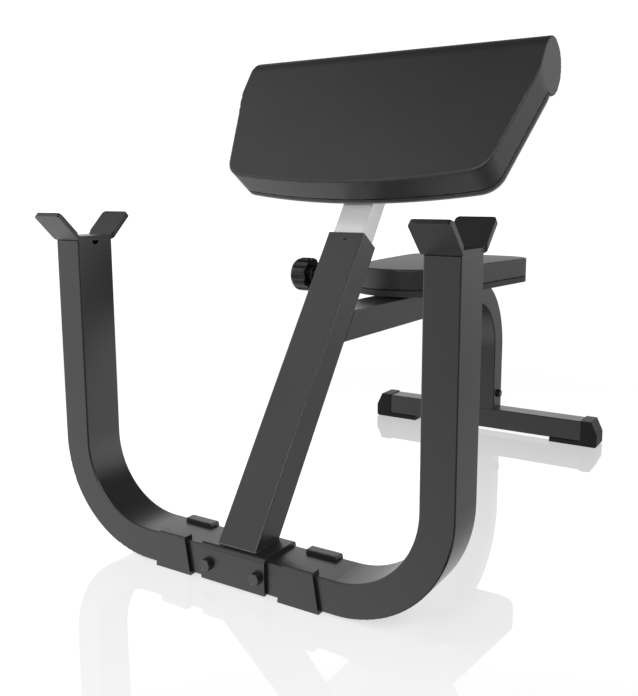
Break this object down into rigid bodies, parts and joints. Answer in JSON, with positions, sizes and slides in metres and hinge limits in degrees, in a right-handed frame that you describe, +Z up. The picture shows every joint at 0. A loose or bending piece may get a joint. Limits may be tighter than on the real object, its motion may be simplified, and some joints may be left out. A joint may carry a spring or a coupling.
{
  "type": "preacher curl bench",
  "caption": "Free-standing preacher curl bench: bent tube front with bar catches, leaning sleeve with an adjustable rolled arm pad, level beam with a padded seat and a rear foot bar.",
  "frame": {"origin": "on the floor, in the middle of the bench's outline", "axes": "+X to the right seen from the front, +Y from the front U back to the rear foot, +Z up"},
  "size_m": [0.728, 1.0988, 0.8618],
  "materials": {
    "frame_paint": "satin",
    "post_plating": "satin",
    "moulded_black": "satin",
    "knob_black": "gloss",
    "vinyl_black": "matte",
    "board_wood": "matte",
    "bolt_black": "satin",
    "zinc_steel": "satin"
  },
  "bodies": {
    "frame": {"u_frame": "frame_paint", "bar_catch_left": "frame_paint", "bar_catch_right": "frame_paint", "saddle_bracket": "frame_paint", "post_sleeve": "frame_paint", "pin_boss": "frame_paint", "seat_beam": "frame_paint", "rear_bar": "frame_paint", "rear_spigot": "frame_paint", "seat_plate_front": "frame_paint", "seat_plate_rear": "frame_paint", "foot_clip_left": "moulded_black", "foot_clip_right": "moulded_black", "end_cap_left": "moulded_black", "end_cap_right": "moulded_black", "sleeve_bushing": "moulded_black", "seat_pad": "vinyl_black", "seat_board": "board_wood", "saddle_bolts": "bolt_black", "saddle_washers": "bolt_black", "saddle_nuts": "bolt_black", "leg_bolt": "bolt_black", "leg_washers": "bolt_black", "leg_nut": "bolt_black", "seat_bolts": "zinc_steel", "seat_washers": "zinc_steel", "seat_tee_nuts": "zinc_steel", "pin_barrel": "zinc_steel", "pin_spring": "zinc_steel"},
    "post": {"pad_post": "post_plating", "post_glide": "moulded_black", "post_cap": "moulded_black", "pad_bracket": "frame_paint", "pad_board": "board_wood", "arm_pad": "vinyl_black", "pad_bolts": "zinc_steel", "pad_washers": "zinc_steel", "pad_tee_nuts": "zinc_steel"},
    "plunger": {"lock_pin": "zinc_steel"},
    "knob": {"pull_knob": "knob_black"}
  },
  "joints": [
    {"name": "post_slide", "type": "slide", "parent": "frame", "child": "post", "axis": [0, 0.5736, 0.8192], "range_m": [-0.05, 0.15]},
    {"name": "knob_pull", "type": "slide", "parent": "frame", "child": "plunger", "axis": [-1, 0, 0], "range_m": [-0.008, 0.002], "deforming": ["pin_spring"]},
    {"name": "knob_turn", "type": "hinge", "parent": "plunger", "child": "knob", "pos_m": [-0.075, -0.19616, 0.45316], "axis": [-1, 0, 0], "continuous": true}
  ]
}
